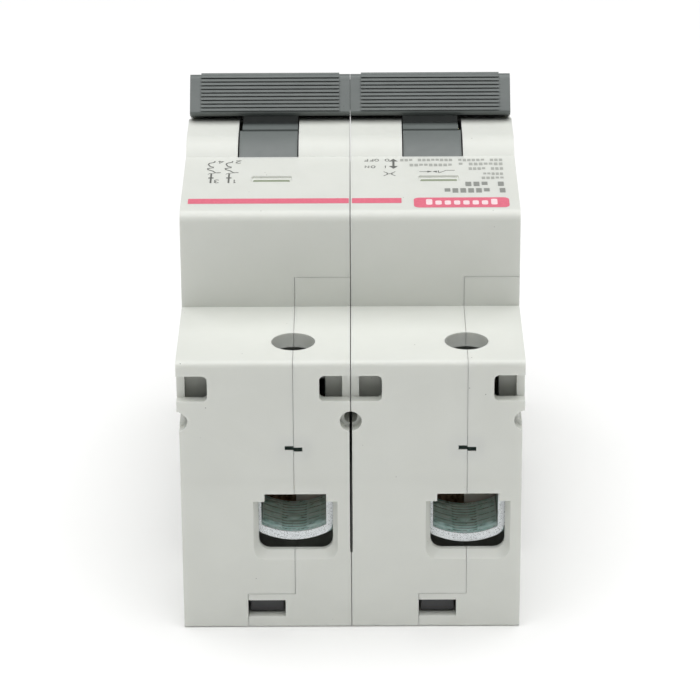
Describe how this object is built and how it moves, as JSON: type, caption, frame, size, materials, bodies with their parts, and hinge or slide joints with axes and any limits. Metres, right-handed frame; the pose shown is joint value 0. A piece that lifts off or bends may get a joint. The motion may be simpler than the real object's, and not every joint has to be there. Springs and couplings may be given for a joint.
{
  "type": "modular circuit breaker",
  "caption": "Modular rail-mounted circuit breaker with tied toggle handles, cage-clamp screw terminals at both ends and a stepped white moulded case.",
  "frame": {"origin": "centre of the rail side, on the plane the case stands on", "axes": "+X across the poles, +Y from the line end to the load end, +Z away from the rail"},
  "size_m": [0.054, 0.09, 0.0718],
  "materials": {
    "shell_plastic": "fine moulded, satin",
    "toggle_plastic": "fine moulded, satin",
    "clip_plastic": "moulded",
    "steel": "zinc plated",
    "zinc_steel": "passivated zinc",
    "copper": "bare copper",
    "fibre": "pressed fibre and steel plates"
  },
  "bodies": {
    "case": {"left_base_shell": "shell_plastic", "left_cover_shell": "shell_plastic", "left_toggle_axle": "steel", "left_line_busbar": "copper", "left_load_busbar": "copper", "left_contact_arm_pin": "steel", "left_toggle_link": "steel", "left_arc_chute": "fibre", "left_arc_runner": "steel", "left_trip_coil": "copper", "left_coil_yoke": "zinc_steel", "left_bimetal_strip": "steel", "left_contact_braid": "copper", "left_case_rivet_1": "steel", "left_case_rivet_2": "steel", "left_case_rivet_3": "steel", "left_case_rivet_4": "steel", "left_case_rivet_5": "steel", "right_base_shell": "shell_plastic", "right_cover_shell": "shell_plastic", "right_toggle_axle": "steel", "right_line_busbar": "copper", "right_load_busbar": "copper", "right_contact_arm_pin": "steel", "right_toggle_link": "steel", "right_arc_chute": "fibre", "right_arc_runner": "steel", "right_trip_coil": "copper", "right_coil_yoke": "zinc_steel", "right_bimetal_strip": "steel", "right_contact_braid": "copper", "right_case_rivet_1": "steel", "right_case_rivet_2": "steel", "right_case_rivet_3": "steel", "right_case_rivet_4": "steel", "right_case_rivet_5": "steel"},
    "toggles": {"left_toggle": "toggle_plastic", "right_toggle": "toggle_plastic", "toggle_tie_bar": "toggle_plastic"},
    "trip": {"common_trip_bar": "steel", "left_trip_lever": "clip_plastic", "right_trip_lever": "clip_plastic"},
    "left_contact": {"left_contact_arm": "copper"},
    "left_plunger": {"left_trip_plunger": "steel"},
    "left_line_screw": {"left_line_terminal_screw": "steel"},
    "left_line_clamp": {"left_line_clamp_cage": "zinc_steel"},
    "left_line_clip": {"left_line_rail_clip": "clip_plastic"},
    "left_load_screw": {"left_load_terminal_screw": "steel"},
    "left_load_clamp": {"left_load_clamp_cage": "zinc_steel"},
    "left_load_clip": {"left_load_rail_clip": "clip_plastic"},
    "right_contact": {"right_contact_arm": "copper"},
    "right_plunger": {"right_trip_plunger": "steel"},
    "right_line_screw": {"right_line_terminal_screw": "steel"},
    "right_line_clamp": {"right_line_clamp_cage": "zinc_steel"},
    "right_line_clip": {"right_line_rail_clip": "clip_plastic"},
    "right_load_screw": {"right_load_terminal_screw": "steel"},
    "right_load_clamp": {"right_load_clamp_cage": "zinc_steel"},
    "right_load_clip": {"right_load_rail_clip": "clip_plastic"}
  },
  "joints": [
    {"name": "toggle_tilt", "type": "hinge", "parent": "case", "child": "toggles", "pos_m": [0, 0.0097, 0.0483], "axis": [1, 0, 0], "range_deg": [0, 44]},
    {"name": "trip_bar_turn", "type": "hinge", "parent": "case", "child": "trip", "pos_m": [0, 0.025, 0.04], "axis": [-1, 0, 0], "range_deg": [0, 10], "stiffness_Nm_per_rad": 0.01},
    {"name": "left_contact_swing", "type": "hinge", "parent": "case", "child": "left_contact", "pos_m": [-0.0135, 0.004, 0.0339], "axis": [1, 0, 0], "range_deg": [0, 24]},
    {"name": "left_plunger_slide", "type": "slide", "parent": "case", "child": "left_plunger", "axis": [0, -1, 0], "range_m": [0, 0.0015], "stiffness_N_per_m": 150},
    {"name": "left_line_screw_turn", "type": "hinge", "parent": "case", "child": "left_line_screw", "pos_m": [-0.00885, -0.0366, 0.042], "axis": [0, 0, -1], "range_deg": [0, 1584]},
    {"name": "left_line_clamp_lift", "type": "slide", "parent": "case", "child": "left_line_clamp", "axis": [0, 0, 1], "range_m": [0, 0.0055]},
    {"name": "left_line_clip_slide", "type": "slide", "parent": "case", "child": "left_line_clip", "axis": [0, -1, 0], "range_m": [0, 0.003]},
    {"name": "left_load_screw_turn", "type": "hinge", "parent": "case", "child": "left_load_screw", "pos_m": [-0.00885, 0.0366, 0.042], "axis": [0, 0, -1], "range_deg": [0, 1584]},
    {"name": "left_load_clamp_lift", "type": "slide", "parent": "case", "child": "left_load_clamp", "axis": [0, 0, 1], "range_m": [0, 0.0055]},
    {"name": "left_load_clip_slide", "type": "slide", "parent": "case", "child": "left_load_clip", "axis": [0, 1, 0], "range_m": [0, 0.003]},
    {"name": "right_contact_swing", "type": "hinge", "parent": "case", "child": "right_contact", "pos_m": [0.0136, 0.004, 0.0339], "axis": [1, 0, 0], "range_deg": [0, 24]},
    {"name": "right_plunger_slide", "type": "slide", "parent": "case", "child": "right_plunger", "axis": [0, -1, 0], "range_m": [0, 0.0015], "stiffness_N_per_m": 150},
    {"name": "right_line_screw_turn", "type": "hinge", "parent": "case", "child": "right_line_screw", "pos_m": [0.01825, -0.0366, 0.042], "axis": [0, 0, -1], "range_deg": [0, 1584]},
    {"name": "right_line_clamp_lift", "type": "slide", "parent": "case", "child": "right_line_clamp", "axis": [0, 0, 1], "range_m": [0, 0.0055]},
    {"name": "right_line_clip_slide", "type": "slide", "parent": "case", "child": "right_line_clip", "axis": [0, -1, 0], "range_m": [0, 0.003]},
    {"name": "right_load_screw_turn", "type": "hinge", "parent": "case", "child": "right_load_screw", "pos_m": [0.01825, 0.0366, 0.042], "axis": [0, 0, -1], "range_deg": [0, 1584]},
    {"name": "right_load_clamp_lift", "type": "slide", "parent": "case", "child": "right_load_clamp", "axis": [0, 0, 1], "range_m": [0, 0.0055]},
    {"name": "right_load_clip_slide", "type": "slide", "parent": "case", "child": "right_load_clip", "axis": [0, 1, 0], "range_m": [0, 0.003]}
  ],
  "couplings": [
    {"joint": "left_contact_swing", "follows": "toggle_tilt", "ratio": 0.54545},
    {"joint": "left_line_screw_turn", "follows": "left_line_clamp_lift", "rad_per_m": 5026.5},
    {"joint": "left_load_screw_turn", "follows": "left_load_clamp_lift", "rad_per_m": 5026.5},
    {"joint": "right_contact_swing", "follows": "toggle_tilt", "ratio": 0.54545},
    {"joint": "right_line_screw_turn", "follows": "right_line_clamp_lift", "rad_per_m": 5026.5},
    {"joint": "right_load_screw_turn", "follows": "right_load_clamp_lift", "rad_per_m": 5026.5}
  ]
}
